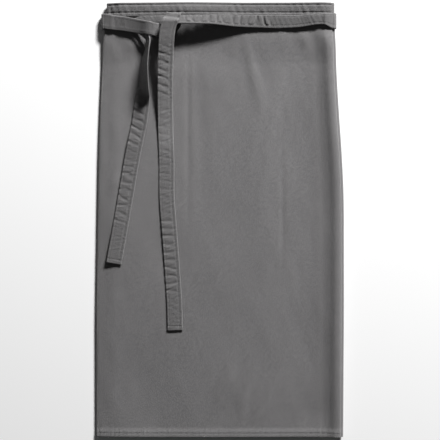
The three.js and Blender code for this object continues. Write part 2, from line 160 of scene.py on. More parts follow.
def side_height(which):
    return SPACE * (CRISP_FOLD if which == LEFT else SOFT_ROLL)["height"][0]


def mounds(table, x, y, unit_x, unit_y, unit_z):
    """The height that long soft rises add: each row's sizes count in the units that are given."""
    rise = np.zeros(np.broadcast(x, y).shape)
    for middle_x, middle_y, wide, long, turn, height in table:
        turn = math.radians(turn)
        dx, dy = x - middle_x * unit_x, y - middle_y * unit_y
        across = (dx * math.cos(turn) + dy * math.sin(turn)) / (wide * unit_x)
        length = (dy * math.cos(turn) - dx * math.sin(turn)) / (long * unit_y)
        rise = rise + height * unit_z * np.exp(-across * across - length * length)
    return rise


def front_over_back(x, y):
    """How far the front stands over the folded sides."""
    from_left = (x + side(LEFT, y)) / HALF_FRONT
    from_right = (side(RIGHT, y) - x) / HALF_FRONT
    left = along(CRISP_FOLD, np.maximum(from_left, 0), "inward", "height")
    rolled = along(SOFT_ROLL, np.maximum(from_right, 0), "inward", "height")
    right = 1 + (rolled - 1) * along(SIDES, np.asarray(y) / LENGTH + 0.5, "at", "roll")
    inside = smoothstep(np.minimum(from_left, from_right), *FOLDS_BEGIN)
    folds = mounds(FOLDS, x, y, HALF_FRONT, LENGTH, SPACE)
    return SPACE * np.where(x < 0, left, right) + inside * folds


# Waves: sums of sines with fixed seeds, which stand for wrinkles that have no exact place
def waves(seed, u, v, size_u, size_v, count=9):
    """Even, smooth unevenness from -1 to 1, of about the given sizes along u and v."""
    draw = np.random.default_rng(seed)
    total = np.zeros(np.broadcast(u, v).shape)
    for _ in range(count):
        turn, phase = draw.uniform(-0.5, 0.5), draw.uniform(0, 2 * math.pi)
        pace_u, pace_v = draw.uniform(0.6, 1.5) / size_u, draw.uniform(0.6, 1.5) / size_v
        total = total + np.sin(2 * math.pi * (u * pace_u + v * pace_v * (1 if turn > 0 else -1)) + phase)
    return total / math.sqrt(count)


def furrow(distance, reach):
    """One at a seam, falling to nothing about reach away from it."""
    return np.exp(-((distance / reach) ** 2))


# Meshes
def mesh_piece(name, points, quads, uvs, wear_with_painted_light_and_shade, material):
    """A smooth piece with its UV map, and an attribute that holds its rubbing, its painted light and its
    painted shade.
    """
    mesh = bpy.data.meshes.new(name)
    mesh.from_pydata([tuple(p) for p in points], [], [tuple(q) for q in quads])
    loops = np.array([vertex for quad in quads for vertex in quad])
    layer = mesh.uv_layers.new(name="cloth")
    layer.data.foreach_set("uv", np.asarray(uvs, float)[loops].ravel())
    # The attribute carries rubbing, and on the skirt and the ties painted light and painted shade too
    mesh.attributes.new("wear_with_painted_light_and_shade", "FLOAT", "POINT").data.foreach_set("value", np.asarray(wear_with_painted_light_and_shade, float))
    mesh.materials.append(material)
    mesh.polygons.foreach_set("use_smooth", [True] * len(mesh.polygons))
    mesh.update()
    piece = bpy.data.objects.new(name, mesh)
    bpy.context.scene.collection.objects.link(piece)
    return piece


def sheet_piece(name, outer, inner, uvs, wear_with_painted_light_and_shade, material):
    """One closed piece between the two faces of a sheet, each an array of rows by columns by three."""
    rows, across = outer.shape[:2]
    number = np.arange(rows * across).reshape(rows, across)
    up, down = number, number + rows * across
    def strip(a, b, c, d):
        return np.stack([a.ravel(), b.ravel(), c.ravel(), d.ravel()], axis=1)
    quads = np.concatenate([
        strip(up[:-1, :-1], up[:-1, 1:], up[1:, 1:], up[1:, :-1]),
        strip(down[:-1, :-1], down[1:, :-1], down[1:, 1:], down[:-1, 1:]),
        strip(up[:-1, 0], up[1:, 0], down[1:, 0], down[:-1, 0]),
        strip(up[:-1, -1], down[:-1, -1], down[1:, -1], up[1:, -1]),
        strip(up[0, :-1], down[0, :-1], down[0, 1:], up[0, 1:]),
        strip(up[-1, :-1], up[-1, 1:], down[-1, 1:], down[-1, :-1]),
    ])
    points = np.concatenate([outer.reshape(-1, 3), inner.reshape(-1, 3)])
    uvs = np.concatenate([uvs.reshape(-1, 2)] * 2)
    wear_with_painted_light_and_shade = np.concatenate([wear_with_painted_light_and_shade.ravel()] * 2)
    return mesh_piece(name, points, quads.tolist(), uvs, wear_with_painted_light_and_shade, material)


RIM_ROUNDING = 0.86


def rounded_rim(places_u, places_v, reach):
    """How much of its thickness a sheet keeps near its rim, as a grid of rows by columns."""
    def keep(places):
        inward = np.minimum(places - places.min(), places.max() - places)
        return np.sqrt(1 - (1 - np.clip(inward / reach, 0.0, 1)) ** 2 * RIM_ROUNDING)
    return np.minimum.outer(keep(places_v), keep(places_u))


# The cloth's section: how many columns a folded side, a turn and the front have, and how much the front's
# columns crowd towards its sides
FLAP_COLUMNS, TURN_COLUMNS, FRONT_COLUMNS = 20, 10, 190
FRONT_CROWDING = 0.55


def section_line(y, thick, finer):
    """The middle line of the cloth at one height, from the left flap's edge round to the right flap's."""
    back = float(lift(y)) + thick / 2
    turns = {}
    for which in (LEFT, RIGHT):
        radius = side_height(which) / 2
        turns[which] = (radius, which * (float(side(which, y)) - thick / 2 - radius), back + radius)
    flap_share = np.linspace(0, 1, FLAP_COLUMNS, endpoint=False)
    angle = np.linspace(0, math.pi, TURN_COLUMNS, endpoint=False)
    even = np.linspace(-1, 1, FRONT_COLUMNS + 1)
    share = even + (np.sin(even * math.pi / 2) - even) * FRONT_CROWDING
    (radius_l, x_l, z_l), (radius_r, x_r, z_r) = turns[LEFT], turns[RIGHT]
    x = x_l + (x_r - x_l) * (share + 1) / 2
    blend = smoothstep(x, x_l, x_l + 2 * CLEAR) * smoothstep(-x, -x_r, -x_r + 2 * CLEAR)
    ends = np.where(x < 0, side_height(LEFT), side_height(RIGHT))
    height = ends + (front_over_back(x, y) + finer(x, y) - ends) * blend
    edge_l, edge_r = float(flap_edge(LEFT, y)), float(flap_edge(RIGHT, y))
    xs = [
        edge_l + (x_l - edge_l) * flap_share,
        x_l - radius_l * np.sin(angle),
        x,
        (x_r + radius_r * np.sin(angle))[::-1],
        (edge_r + (x_r - edge_r) * flap_share)[::-1],
    ]
    zs = [
        np.full(FLAP_COLUMNS, back),
        z_l - radius_l * np.cos(angle),
        back + height,
        (z_r - radius_r * np.cos(angle))[::-1],
        np.full(FLAP_COLUMNS, back),
    ]
    return np.concatenate(xs), np.concatenate(zs)


def cloth_faces(heights, thicks, finer, rim_reach):
    """The outer and inner face of the cloth over the given heights, and its UV map in metres along it."""
    lines = [section_line(y, thick, finer) for y, thick in zip(heights, thicks)]
    x, z = (np.array([line[k] for line in lines]) for k in (0, 1))
    y = np.repeat(np.array(heights)[:, None], x.shape[1], axis=1)
    steps = np.hypot(np.diff(x, axis=1), np.diff(z, axis=1))
    run = np.concatenate([np.zeros((len(x), 1)), np.cumsum(steps, axis=1)], axis=1)
    run -= run[:, -1:] / 2
    rim = rounded_rim(run[len(x) // 2], y[:, 0], rim_reach)
    middle = np.stack([x, y, z], axis=2)
    normal = np.stack([-np.gradient(z, axis=1), np.zeros_like(x), np.gradient(x, axis=1)], axis=2)
    normal /= np.linalg.norm(normal, axis=2, keepdims=True)
    half = (np.array(thicks)[:, None] * rim / 2)[:, :, None]
    return middle + normal * half, middle - normal * half, np.stack([run, y], axis=2)


# Wrinkles all over the cloth: their seed, height and size along x and y, in millimetres
WRINKLES = {
    "hem puckers": (3, 0.16, 9, 60),
    "gathers": (5, 0.28, 24, 90),
    "wide wrinkles": (7, 0.3, 150, 260),
    "small wrinkles": (11, 0.07, 45, 110),
    "band ripples": (21, 0.3, 15, 30),
    "band small ripples": (23, 0.12, 6, 30),
    "band sway": (27, 0.3, 70, 300),
}


def wrinkles(name, x, y):
    seed, height, size_x, size_y = WRINKLES[name]
    return height * MM * waves(seed, x, y, size_x * MM, size_y * MM)


# The skirt. Its creases: middle x and y, width and length in millimetres, turn in degrees, and rise in
# millimetres
CREASES = (
    (-59, 166, 5, 120, 0, -0.9),
    (-194, 70, 7, 15, -35, 0.9),
    (-204, 120, 10, 90, 2, -0.5),
    (115, 15, 5, 75, 0, -0.55),
    (96, 180, 14, 130, -8, 0.9),
    (10, -300, 12, 62, -20, 0.8),
    (46, -322, 12, 60, -14, 0.9),
    (82, -332, 10, 52, -26, 0.8),
    (-150, -330, 55, 110, 0, -2.4),
    (154, 334, 9, 14, 12, 1),
    (174, 327, 9, 15, -10, -1),
    (192, 335, 8, 14, 10, 0.9),
    (-190, 330, 10, 16, 20, -0.9),
    (-162, 326, 13, 20, 0, 1.8),
    (61, 270, 10, 65, 13, 1.3),
    (170, -360, 26, 16, 40, -0.9),
)


# How far the hem's puckers and the gathers under the band reach, and the groove along the hem's stitches
PUCKER_REACH = 9 * MM
GATHER_REACH = 26 * MM
HEM_GROOVE, HEM_GROOVE_REACH = 0.25 * MM, 1.6 * MM
# The right side's roll: the height of its crest and of the trough beside it, how far in, and their reach
ROLL_RELIEF = ((1.1 * MM, 0, 12 * MM), (-2.9 * MM, 28 * MM, 16 * MM))


def skirt_wrinkles(x, y):
    """The front's small unevenness: puckers at the hem and under the band, and wrinkles all over."""
    over_seam = y + TOP - HEM_SEAM
    puckers = furrow(over_seam, PUCKER_REACH) * wrinkles("hem puckers", x, y)
    groove = HEM_GROOVE * furrow(over_seam, HEM_GROOVE_REACH)
    gathers = furrow(BAND_FOOT - y, GATHER_REACH) * wrinkles("gathers", x, y)
    wide = wrinkles("wide wrinkles", x, y) + wrinkles("small wrinkles", x, y)
    inward = side(RIGHT, y) - x
    roll = sum(height * furrow(inward - place, reach) for height, place, reach in ROLL_RELIEF)
    below_ties = smoothstep(-y, -LIFT_END, -LIFT_START)
    creases = mounds(CREASES, x, y, MM, MM, MM)
    return puckers - groove + gathers + wide + below_ties * roll + creases


# The skirt's rows from the hem up: how many there are in each stretch, and the gaps between the stretches
HEM_ROWS, STEP_ROWS, BODY_ROWS, TOP_ROWS = 12, 6, 96, 24
RIM_ROW = 0.25 * MM
HEM_FOLD = 0.8 * MM
OVER_STEP = 4 * MM
UNDER_LIFT = 3 * MM
HEM_TOP = -TOP + HEM_HEIGHT


def skirt_heights():
    hem = np.linspace(-TOP, HEM_TOP - HEM_FOLD, HEM_ROWS)
    step = np.linspace(HEM_TOP, HEM_TOP + HEM_SLOPE, STEP_ROWS)
    body = np.linspace(HEM_TOP + HEM_SLOPE + OVER_STEP, LIFT_START - UNDER_LIFT, BODY_ROWS)
    high = np.linspace(LIFT_START, SKIRT_TOP, TOP_ROWS)
    return np.unique(np.concatenate([[-TOP + RIM_ROW], hem, step, body, high]))


# Where the skirt is worn: how much, and how far that reaches, and a lighter patch of painted light on its
# upper left
RIM_WEAR, RIM_WEAR_REACH = 0.9, 2.5 * MM
HEM_WEAR, HEM_WEAR_REACH = 0.35, 2 * MM
PAINTED_LIGHT_PATCH, PAINTED_LIGHT_PATCH_PLACE, PAINTED_LIGHT_PATCH_SIZE = 0.35, (-190 * MM, 180 * MM), (50 * MM, 170 * MM)
SKIRT_RIM = 0.5 * MM


def skirt(material):
    heights = skirt_heights()
    hem = 1 - smoothstep(heights, HEM_TOP - HEM_FOLD, HEM_TOP + HEM_SLOPE)
    thicks = CLOTH + (HEM_THICK - CLOTH) * hem
    outer, inner, uvs = cloth_faces(heights, thicks, skirt_wrinkles, SKIRT_RIM)
    u, v = uvs[:, :, 0], uvs[:, :, 1]
    rim = np.minimum(CUT_WIDTH / 2 - np.abs(u), v + TOP)
    # Painted light: a soft lighter patch on the skirt's upper left
    painted_light_mask = furrow(u - PAINTED_LIGHT_PATCH_PLACE[0], PAINTED_LIGHT_PATCH_SIZE[0]) * furrow(v - PAINTED_LIGHT_PATCH_PLACE[1], PAINTED_LIGHT_PATCH_SIZE[1])
    wear_with_painted_light_and_shade = RIM_WEAR * furrow(rim, RIM_WEAR_REACH) + HEM_WEAR * furrow(v - HEM_TOP, HEM_WEAR_REACH)
    return sheet_piece("skirt_cloth", outer, inner, uvs, wear_with_painted_light_and_shade + PAINTED_LIGHT_PATCH * painted_light_mask, material)


# The waistband
BAND_ROWS = 27
BAND_RIM = 1.1 * MM
BAND_GROOVE, BAND_GROOVE_REACH = 0.85 * MM, 1.3 * MM
BAND_WEAR, BAND_WEAR_REACH = 0.8, 1.6 * MM


def band_puckers(x, y):
    """Ripples between the band's rows of stitches, which pull the cloth in."""
    down = TOP - y
    rows = sum(furrow(down - seam, BAND_GROOVE_REACH) for seam in BAND_SEAMS)
    ripple = wrinkles("band ripples", x, y) + wrinkles("band small ripples", x, y)
    swell = np.sin(math.pi * np.clip(down / BAND_HEIGHT, 0, 1)) ** 0.5
    return ripple * swell - BAND_GROOVE * rows + wrinkles("band sway", x, y)


def waistband(material):
    rows = np.linspace(BAND_FOOT, TOP, BAND_ROWS)
    heights = np.unique(np.concatenate([rows, [BAND_FOOT + RIM_ROW, TOP - RIM_ROW]]))
    outer, inner, uvs = cloth_faces(heights, np.full(len(heights), BAND_THICK), band_puckers, BAND_RIM)
    rim = np.minimum(TOP - uvs[:, :, 1], uvs[:, :, 1] - BAND_FOOT)
    wear_with_painted_light_and_shade = BAND_WEAR * furrow(rim, BAND_WEAR_REACH)
    return sheet_piece("waistband_cloth", outer, inner, uvs, wear_with_painted_light_and_shade, material)


# The ties
def front_top(x, y):
    """The height of the front's top face."""
    cover = CLOTH + (BAND_THICK - CLOTH) * smoothstep(y, LIFT_START, LIFT_END)
    inside = np.clip(x, SPACE - side(LEFT, y), side(RIGHT, y) - SPACE)
    return lift(y) + cover + front_over_back(inside, y)


def resting_height(middle, across, width, thick):
    """The least height at which a tie's middle clears the front all across."""
    x, y = middle[:, 0], middle[:, 1]
    tops = []
    for step in (-width / 2, 0, width / 2):
        top = front_top(x + step * across[:, 0], y + step * across[:, 1])
        tops.append(top - step * across[:, 2])
    return np.max(tops, axis=0) + CLEAR + thick / 2


# Two points of a smooth curve count as one where the square root of their distance is below this
LEAST_GAP = 1e-4


def through(points, count):
    """A smooth curve through points, evenly many steps from each to the next."""
    points = np.array(points, float)
    padded = np.concatenate([[2 * points[0] - points[1]], points, [2 * points[-1] - points[-2]]])
    gaps = (np.diff(padded, axis=0) ** 2).sum(axis=1) ** 0.25
    place = np.linspace(0, len(points) - 1, count + 1)
    row = np.minimum(place.astype(int), len(points) - 2)
    share = (place - row)[:, None]
    p0, p1, p2, p3 = (padded[row + k] for k in range(4))
    d0, d1, d2 = (gaps[row + k] for k in range(3))
    d1 = np.where(d1 < LEAST_GAP, 1, d1)
    d0, d2 = (np.where(d < LEAST_GAP, d1, d)[:, None] for d in (d0, d2))
    d1 = d1[:, None]
    t1 = ((p1 - p0) / d0 - (p2 - p0) / (d0 + d1) + (p2 - p1) / d1) * d1
    t2 = ((p2 - p1) / d1 - (p3 - p1) / (d1 + d2) + (p3 - p2) / d2) * d1
    c2, c3 = -3 * p1 + 3 * p2 - 2 * t1 - t2, 2 * p1 - 2 * p2 + t1 + t2
    return p1 + t1 * share + c2 * share**2 + c3 * share**3


FLOOR_LAYER = TIE_THICK / 2
SECOND_LAYER = FLOOR_LAYER + TIE_THICK + CLEAR
BAND_LAYER = LIFT + BAND_THICK / 2
UPWARD = (0, 1, 0)
ROUND_STEPS = 4


def station(x, y, up, front=0, edge=UPWARD, wide=1, thick=1):
    """A point of a tie's middle line. Where front is 1 it rests on the front, and up starts there."""
    return {"middle": (x, y, up), "edge": edge, "shares": (wide, thick, front)}


def round_the_fold(which, outside):
    """The way from the floor round a side of the apron to its front."""
    fold = (side_height(which) + BAND_THICK) / 2
    radius = fold + CLEAR + TIE_THICK / 2
    turns = [station(which * (outside - 2 * SPACE), TIE_LINE, FLOOR_LAYER)]
    for i in range(ROUND_STEPS + 1):
        angle = math.pi * i / ROUND_STEPS
        x = which * (outside - fold + radius * math.sin(angle))
        turns.append(station(x, TIE_LINE, LIFT + fold - radius * math.cos(angle)))
    return turns


# The way behind: x as a share of the band end's distance, y as a share of the way from the band's line down
# to the ties' lowest line, how much of its height is the band's and the crossing's layer, and where it is
# narrow
NARROW = 0.92 * BAND_HEIGHT / TIE_WIDTH
SAG = 0.28 * TIE_WIDTH
LEVEL_AGAIN = 0.72
BEHIND = (
    (-1, 0, 1, 0, 1),
    (-0.8, 0, 0.5, 0.5, 1),
    (-0.6, 0, 0, 1, 1),
    (0, 0.5, 0, 1, 0),
    (0.6, 1, 0, 1, 0),
    (0.9, 1.03, 0, 0, 0),
    (1.3, 1, 0, 0, 0),
)


def hidden_stretch(which, crossing_layer, slack):
    """The way from the band's end at one flap to the far side's fold, and round it to the front."""
    band_end = float(flap_edge(-which, BAND_LINE)) + which * SEAM
    outside = float(side(which, TIE_LINE - TIE_WIDTH / 2)) + slack
    behind = []
    for reach, down, band, crossing, narrow in BEHIND:
        y = BAND_LINE + (TIE_LINE - SAG - BAND_LINE) * down
        up = FLOOR_LAYER + band * (BAND_LAYER - FLOOR_LAYER) + crossing * (crossing_layer - FLOOR_LAYER)
        behind.append(station(which * reach * abs(band_end), y, up, wide=1 + (NARROW - 1) * narrow))
    level = station(which * LEVEL_AGAIN * outside, TIE_LINE - SAG / 2, FLOOR_LAYER)
    return [*behind, level, *round_the_fold(which, outside)]


def leaning(heading, lean):
    """The direction across a tie that runs at a heading in degrees and leans over by some more."""
    h, l = math.radians(heading), math.radians(lean)
    return (math.sin(h) * math.cos(l), -math.cos(h) * math.cos(l), -math.sin(l))


def on_front(out, rise, up, heading, lean, wide, thick=1):
    """A station at a share of HALF_FRONT out from the middle, with rise and up in tie widths."""
    x, y = out * HALF_FRONT, TIE_LINE + rise * TIE_WIDTH
    return station(x, y, up * TIE_WIDTH, 1, leaning(heading, lean), wide, thick)


def in_knot(across, rise, up, heading, lean, wide, thick=1):
    """A station at so many tie widths from the knot."""
    x, y = KNOT_X + across * TIE_WIDTH, TIE_LINE + rise * TIE_WIDTH
    return station(x, y, up * TIE_WIDTH, 1, leaning(heading, lean), wide, thick)


def on_tail(drop, across, down, up, heading, lean, wide, thick=1):
    """A station at a share of a tail's drop below the tie line."""
    x, y = KNOT_X + across * TIE_WIDTH, TIE_LINE - down * drop
    return station(x, y, up * TIE_WIDTH, 1, leaning(heading, lean), wide, thick)


# The ties' stations, as on_front, in_knot and on_tail take them: heading and lean are in degrees, width and
# thickness are shares of the tie's own
LEFT_FRONT = (
    (-0.86, -0.11, 0.02, 180, -3, 0.96),
    (-0.76, -0.23, 0.06, 180, -5, 0.95),
    (-0.655, -0.41, 0.19, 180, -7, 0.92),
    (-0.57, -0.54, 0.42, 180, -5, 0.86),
)
LEFT_KNOT = (
    (-1.15, -0.64, 0.34, 180, -3, 0.86),
    (-0.78, -0.68, 0.14, 178, 0, 0.86),
    (-0.3, -0.56, 0.05, 225, 0, 0.86),
    (-0.04, -0.26, 0.02, 262, 0, 0.92),
    (0, -0.03, 0.02, 270, 0, 0.96),
    (0, 0.22, 0.02, 270, 0, 0.96),
)
LEFT_TURN = (
    (0, 0.39, 0.06, 270, 0, 0.96),
    (0, 0.44, 0.16, 270, 0, 0.96),
    (-0.02, 0.38, 0.28, 270, 0, 0.96),
    (-0.12, 0.14, 0.42, 270, 0, 0.98),
    (-0.22, -0.09, 0.62, 270, 0, 1),
)
LEFT_TAIL = (
    (-0.32, 0.018, 0.7, 270, 0, 1),
    (-0.4, 0.034, 0.72, 270, 0, 1),
    (-0.48, 0.066, 0.7, 270, 0, 1),
    (-0.53, 0.11, 0.58, 270, 0, 1),
    (-0.57, 0.17, 0.4, 270, 0, 1),
    (-0.59, 0.23, 0.23, 270, 0, 1),
    (-0.585, 0.29, 0.1, 270, 0, 1),
    (-0.57, 0.35, 0.02, 270, 0, 1),
    (-0.51, 0.45, 0, 270, 0, 1),
    (-0.49, 0.57, 0, 270, 0, 1),
    (-0.37, 0.65, 0, 270, 0, 1),
    (-0.14, 0.8, 0, 270, 0, 1),
    (0.01, 0.92, 0, 270, 0, 1),
    (0.05, 1, 0, 270, 0, 1),
)
RIGHT_FRONT = (
    (0.84, 0.07, 0.035, 180, -2, 0.72),
    (0.76, 0.06, 0.03, 180, -4, 0.72),
    (0.65, -0.04, 0.02, 180, -4, 0.78),
    (0.52, -0.08, 0, 180, -3, 0.82),
    (0.33, -0.07, 0, 180, 0, 0.82),
    (0.13, -0.03, 0.02, 180, 5, 0.8),
    (0.01, 0.02, 0.04, 180, 9, 0.73),
    (-0.07, 0.04, 0.03, 180, 12, 0.66, 1.15),
    (-0.165, 0.03, 0.03, 180, 14, 0.62, 1.3),
)
RIGHT_KNOT = (
    (0.68, 0.02, 0.09, 180, 17, 0.6, 1.3),
    (0, 0, 0.16, 180, 17, 0.6, 1.3),
    (-0.46, 0.02, 0.165, 180, 16, 0.56, 1.3),
    (-0.8, 0.06, 0.11, 181, 18, 0.5, 1.3),
    (-1.2, 0.08, 0.02, 182, 10, 0.46, 1.3),
    (-1.7, 0.08, 0.02, 184, 6, 0.44, 1.3),
    (-2.15, 0.07, 0.02, 194, 4, 0.42, 1.3),
    (-2.5, -0.04, 0.02, 225, 4, 0.4, 1.3),
    (-2.6, -0.28, 0.02, 262, 4, 0.4, 1.3),
    (-2.48, -0.53, 0.02, 300, 6, 0.4, 1.3),
    (-2.22, -0.72, 0.02, 318, 12, 0.4, 1.3),
    (-1.94, -0.92, 0.02, 305, 28, 0.42, 1.3),
    (-1.74, -1.16, 0.02, 282, 54, 0.48, 1.2),
)
RIGHT_TAIL = (
    (-1.72, 0.098, 0.02, 270, 64, 0.72, 1.1),
    (-1.82, 0.135, 0.02, 270, 64, 0.9),
    (-1.94, 0.18, 0.02, 270, 60, 1),
    (-1.97, 0.24, 0.02, 270, 54, 1),
    (-1.99, 0.283, 0.02, 270, 44, 1),
    (-2.07, 0.31, 0.02, 268, 20, 1),
    (-2.15, 0.35, 0.02, 266, 8, 1),
    (-2.3, 0.42, 0.02, 262, 3, 1),
    (-2.5, 0.48, 0.01, 260, 0, 1),
    (-2.79, 0.57, 0, 260, 0, 1),
    (-3.24, 0.735, 0, 259, 0, 1),
    (-3.7, 0.9, 0, 259, 0, 1),
    (-3.99, 1, 0, 259, 0, 1),
)
LEFT_STATIONS = (
    hidden_stretch(LEFT, SECOND_LAYER, 3 * CLEAR + TIE_THICK)
    + [on_front(*row) for row in LEFT_FRONT]
    + [in_knot(*row) for row in LEFT_KNOT + LEFT_TURN]
    + [on_tail(LONG_TAIL, *row) for row in LEFT_TAIL]
)
RIGHT_STATIONS = (
    hidden_stretch(RIGHT, FLOOR_LAYER, 2 * CLEAR)
    + [on_front(*row) for row in RIGHT_FRONT]
    + [in_knot(*row) for row in RIGHT_KNOT]
    + [on_tail(SHORT_TAIL, *row) for row in RIGHT_TAIL]
)
STEPS_PER_STATION = 26
TIE_COLUMNS = 19
RIM_COLUMN = 0.488
SHORTEST = 1e-12


def unit(vectors):
    return vectors / np.maximum(np.linalg.norm(vectors, axis=-1, keepdims=True), SHORTEST)


def ribbon(stations):
    """A tie's middle line, directions across and outward, width, thickness and length so far."""
    count = (len(stations) - 1) * STEPS_PER_STATION
    middle = through([place["middle"] for place in stations], count)
    edge = unit(through([place["edge"] for place in stations], count))
    shares = through([place["shares"] for place in stations], count)
    width, thick = shares[:, 0] * TIE_WIDTH, shares[:, 1] * TIE_THICK
    resting = resting_height(middle, edge, width, thick)
    middle[:, 2] = np.maximum(middle[:, 2] + np.clip(shares[:, 2], 0, 1) * resting, FLOOR_LAYER)
    length = np.concatenate([[0], np.cumsum(np.linalg.norm(np.diff(middle, axis=0), axis=1))])
    even = np.linspace(0, length[-1], count + 1)
    def evened(values):
        return np.stack([np.interp(even, length, column) for column in values.T], axis=1)
    middle, edge = evened(middle), evened(edge)
    width, thick = np.interp(even, length, width), np.interp(even, length, thick)
    heading = unit(np.gradient(middle, axis=0))
    across = unit(edge - heading * (edge * heading).sum(axis=1, keepdims=True))
    normal = unit(np.cross(across, heading))
    return middle, across, normal, width, thick, even


# Where a tie's cloth is pressed into rungs: from and to in millimetres before its end, depth in millimetres,
# and how much they slant
LEFT_RUNGS = (
    (420, 530, 0.36, 0.35),
    (235, 420, 0.16, 0.12),
    (55, 222, 0.42, 0.1),
    (700, 980, 0.25, 0.2),
)
RIGHT_RUNGS = (
    (60, 205, 0.34, 0.16),
    (205, 320, 0.45, 0.3),
    (545, 735, 1, 0.1),
)
# The rungs' pitch, how soon they set in, in millimetres, and how far their pace and depth stray
RUNG = 14.5 * MM
RUNG_FADE = 22
RUNG_DRIFT, DRIFT_ALONG, DRIFT_ACROSS = 0.09, 45 * MM, 50 * MM
RUNG_UNEVEN, UNEVEN_SIZE = 0.25, 30 * MM
SECOND_RIPPLE = 0.3
UNEVEN_SEED, GRAIN_SEED = 9, 2
# How far beside the lower row of stitches the rungs begin and are full, as shares of the width
RUNGS_BEGIN, RUNGS_FULL = -0.03, 0.12
# A tie's fine grain, the grooves along its rows of stitches, and how far in its rim is rounded
TIE_GRAIN, GRAIN_ALONG, GRAIN_ACROSS = 0.08 * MM, 9 * MM, 25 * MM
TIE_GROOVE, SIDE_GROOVE_REACH, END_GROOVE_REACH = 0.4 * MM, 1.1 * MM, 1.3 * MM
TIE_RIM = 1 * MM
# How much of a rung shows on the inner face, how much the crests are lightened by rubbing and a painted
# highlight, and how much the edges are lightened by rubbing
INNER_SHARE = 0.6
CREST_WEAR_AND_PAINTED_HIGHLIGHT, MOST_CREST_WEAR_AND_PAINTED_HIGHLIGHT = 0.3, 0.25
EDGE_WEAR, EDGE_WEAR_REACH = 0.3, 1.4 * MM
# Stretches of a tie made lighter as painted light, and with a minus sign darker as painted shade: from and
# to in millimetres before its end, and how much
LEFT_PAINTED_LIGHT_AND_SHADE = ((320, 545, 0.9), (550, 640, -0.5))
RIGHT_PAINTED_SHADE = ((430, 760, -0.4),)
PAINTED_STRETCH_SOFT = 40
LEFT_MARKS, RIGHT_MARKS = (LEFT_RUNGS, LEFT_PAINTED_LIGHT_AND_SHADE), (RIGHT_RUNGS, RIGHT_PAINTED_SHADE)


def stretch(before_end, low, high, soft):
    """One between two distances before a tie's end, falling off inside them over a soft length."""
    return smoothstep(before_end, low, low + soft) * smoothstep(-before_end, -high, soft - high)


def tie_wrinkles(u, v, total, zones, seed):
    """Rungs across a tie between its seams, and the pull of its rows of stitches."""
    before_end = (total - v) / MM
    rungs = 0
    for number, (low, high, depth, slant) in enumerate(zones):
        drift = RUNG_DRIFT * waves(seed + number, v, u, DRIFT_ALONG, DRIFT_ACROSS)
        pace = 2 * math.pi * ((v + slant * u) / RUNG + drift)
        stray = waves(seed + UNEVEN_SEED + number, v, u, UNEVEN_SIZE, UNEVEN_SIZE)
        uneven = 1 - RUNG_UNEVEN + RUNG_UNEVEN * stray
        ripple = np.sin(pace) + SECOND_RIPPLE * np.cos(2 * pace)
        rungs = rungs + depth * MM * stretch(before_end, low, high, RUNG_FADE) * uneven * ripple
    between = smoothstep(u / TIE_WIDTH, TIE_SEAMS[1] + RUNGS_BEGIN, TIE_SEAMS[1] + RUNGS_FULL)
    rows = sum(furrow(u - place * TIE_WIDTH, SIDE_GROOVE_REACH) for place in TIE_SEAMS)
    end = furrow(total - v - END_SEAM, END_GROOVE_REACH)
    grain = TIE_GRAIN * waves(seed + GRAIN_SEED, v, u, GRAIN_ALONG, GRAIN_ACROSS)
    return rungs * between + grain - TIE_GROOVE * (rows + end)


def tie(name, stations, marks, seed, material):
    """A tie's piece, and its outer face, normals, columns and length so far for the rows of stitches."""
    rungs, painted_stretches = marks
    middle, across, normal, width, thick, run = ribbon(stations)
    share = np.sort(np.concatenate([np.linspace(-0.5, 0.5, TIE_COLUMNS), [-RIM_COLUMN, RIM_COLUMN]]))
    run_grid = np.repeat(run[:, None], len(share), axis=1)
    u = np.repeat(share[None, :] * TIE_WIDTH, len(run), axis=0)
    bump = tie_wrinkles(u, run_grid, run[-1], rungs, seed)
    rim = rounded_rim(share * TIE_WIDTH, run, TIE_RIM)
    line = middle[:, None, :] + across[:, None, :] * (share[None, :] * width[:, None])[:, :, None]
    half = (thick[:, None] * rim / 2)[:, :, None]
    outward = normal[:, None, :]
    outer = line + outward * (half + bump[:, :, None])
    inner = line - outward * (half - bump[:, :, None] * INNER_SHARE)
    outer[:, :, 2] = np.maximum(outer[:, :, 2], 0)
    inner[:, :, 2] = np.maximum(inner[:, :, 2], 0)
    uvs = np.stack([u, run_grid], axis=2)
    wear_with_painted_light_and_shade = EDGE_WEAR * furrow(TIE_WIDTH / 2 - np.abs(u), EDGE_WEAR_REACH)
    # Painted highlight, partly rubbing: the rungs' crests are made lighter
    wear_with_painted_light_and_shade = wear_with_painted_light_and_shade + np.clip(CREST_WEAR_AND_PAINTED_HIGHLIGHT * bump / MM, 0, MOST_CREST_WEAR_AND_PAINTED_HIGHLIGHT)
    before_end = (run[-1] - run_grid) / MM
    # Painted light on the long tail's first stretch, painted shade on the knot and on the right tie beside
    # it
    for low, high, much in painted_stretches:
        wear_with_painted_light_and_shade = wear_with_painted_light_and_shade + much * stretch(before_end, low, high, PAINTED_STRETCH_SOFT)
    piece = sheet_piece(name, inner, outer, uvs, wear_with_painted_light_and_shade, material)
    return piece, {"face": outer, "normal": normal, "share": share, "run": run}


# Materials
def socket(group, name, kind, way="INPUT", value=None):
    item = group.interface.new_socket(name=name, in_out=way, socket_type=kind)
    if value is not None:
        item.default_value = value
    return item


